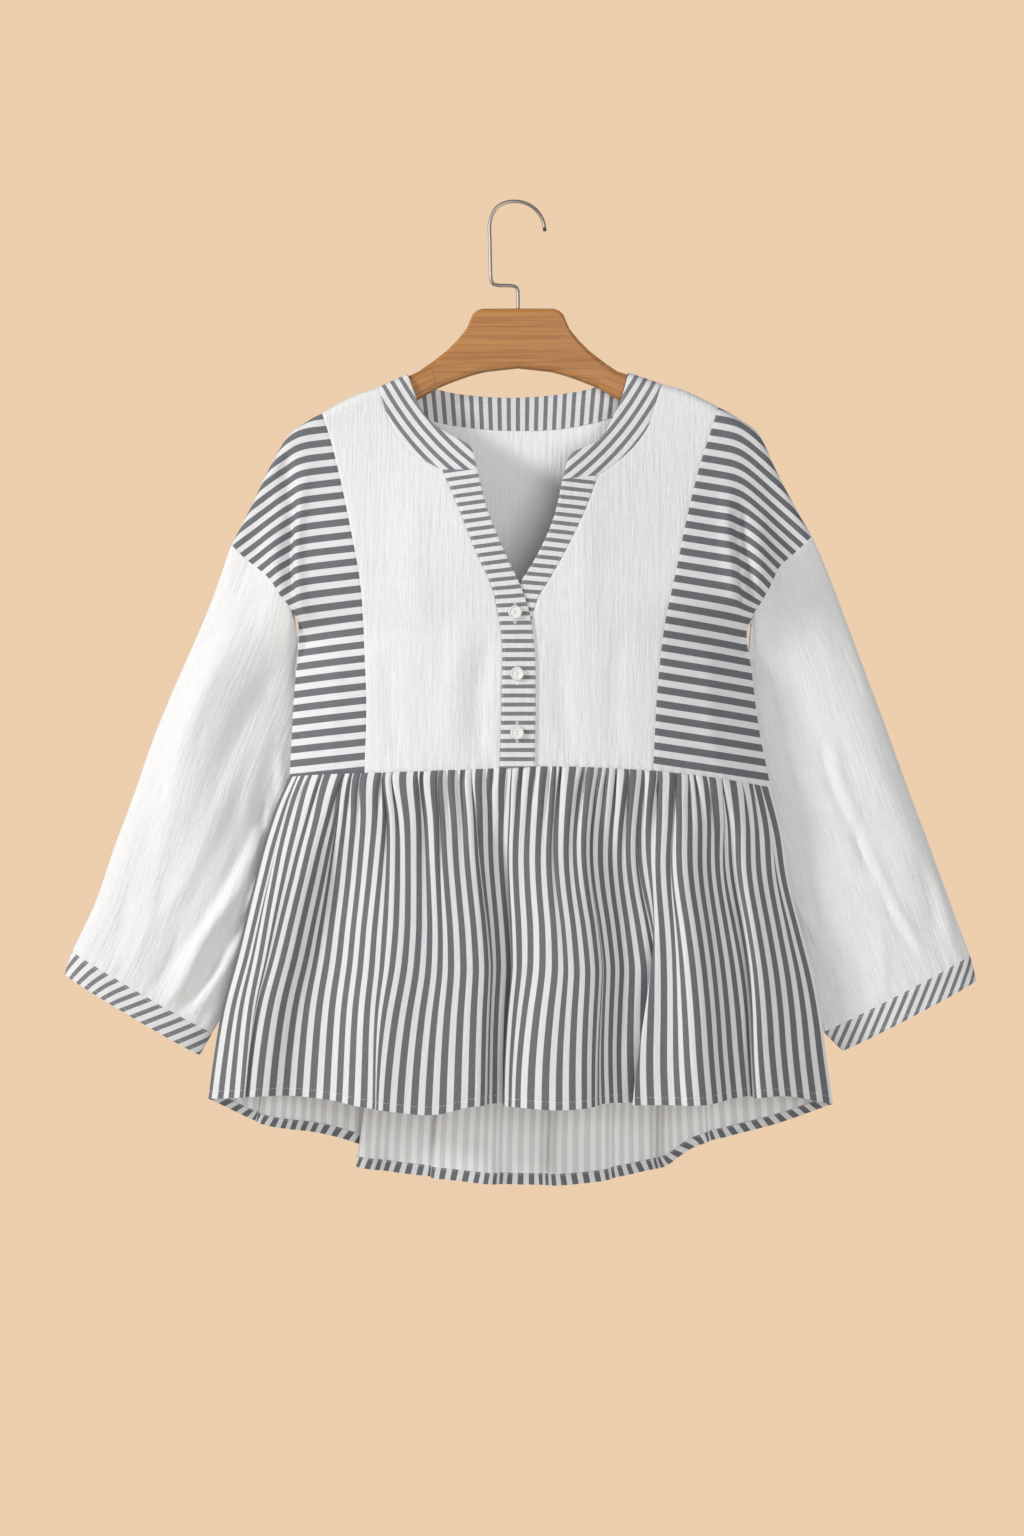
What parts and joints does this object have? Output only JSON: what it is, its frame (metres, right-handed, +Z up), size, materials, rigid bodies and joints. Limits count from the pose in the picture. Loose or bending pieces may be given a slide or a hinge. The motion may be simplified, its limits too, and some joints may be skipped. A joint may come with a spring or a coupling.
{
  "type": "babydoll blouse on a hanger",
  "caption": "Long-sleeved V-neck babydoll blouse in white gauze and grey stripes, with a gathered skirt longer at the back, hanging on a wooden hanger with a wire hook.",
  "frame": {"origin": "the inside of the hook's bend, where it rests on a rail", "axes": "+Z up, the front of the blouse faces -Y, +X to the right as seen from the front"},
  "size_m": [0.8764, 0.1272, 0.9463],
  "materials": {
    "gauze": "white crinkled cotton gauze, matt and slightly sheer",
    "wide_stripe": "yarn-dyed cotton voile, grey-blue and white stripes 12.7 mm apart, matt",
    "narrow_stripe": "yarn-dyed cotton, dark grey-blue and white stripes 8.7 mm apart, matt",
    "button": "off-white, softly polished",
    "wood": "warm brown beech, satin varnish",
    "wire": "polished steel wire"
  },
  "bodies": {
    "root": {"hanger_centre": "wood", "hanger_arm_left": "wood", "hanger_arm_right": "wood", "hanger_hook": "wire", "front_centre_left": "gauze", "front_centre_right": "gauze", "back_centre": "gauze", "sleeve_left": "gauze", "sleeve_right": "gauze", "front_side_left": "wide_stripe", "front_side_right": "wide_stripe", "back_side_left": "wide_stripe", "back_side_right": "wide_stripe", "skirt_front": "wide_stripe", "skirt_back": "wide_stripe", "neckband_front_left": "narrow_stripe", "neckband_front_right": "narrow_stripe", "neckband_back": "narrow_stripe", "placket_left": "narrow_stripe", "placket_right": "narrow_stripe", "cuff_left": "narrow_stripe", "cuff_right": "narrow_stripe", "button_1": "button", "button_2": "button", "button_3": "button"}
  },
  "joints": []
}
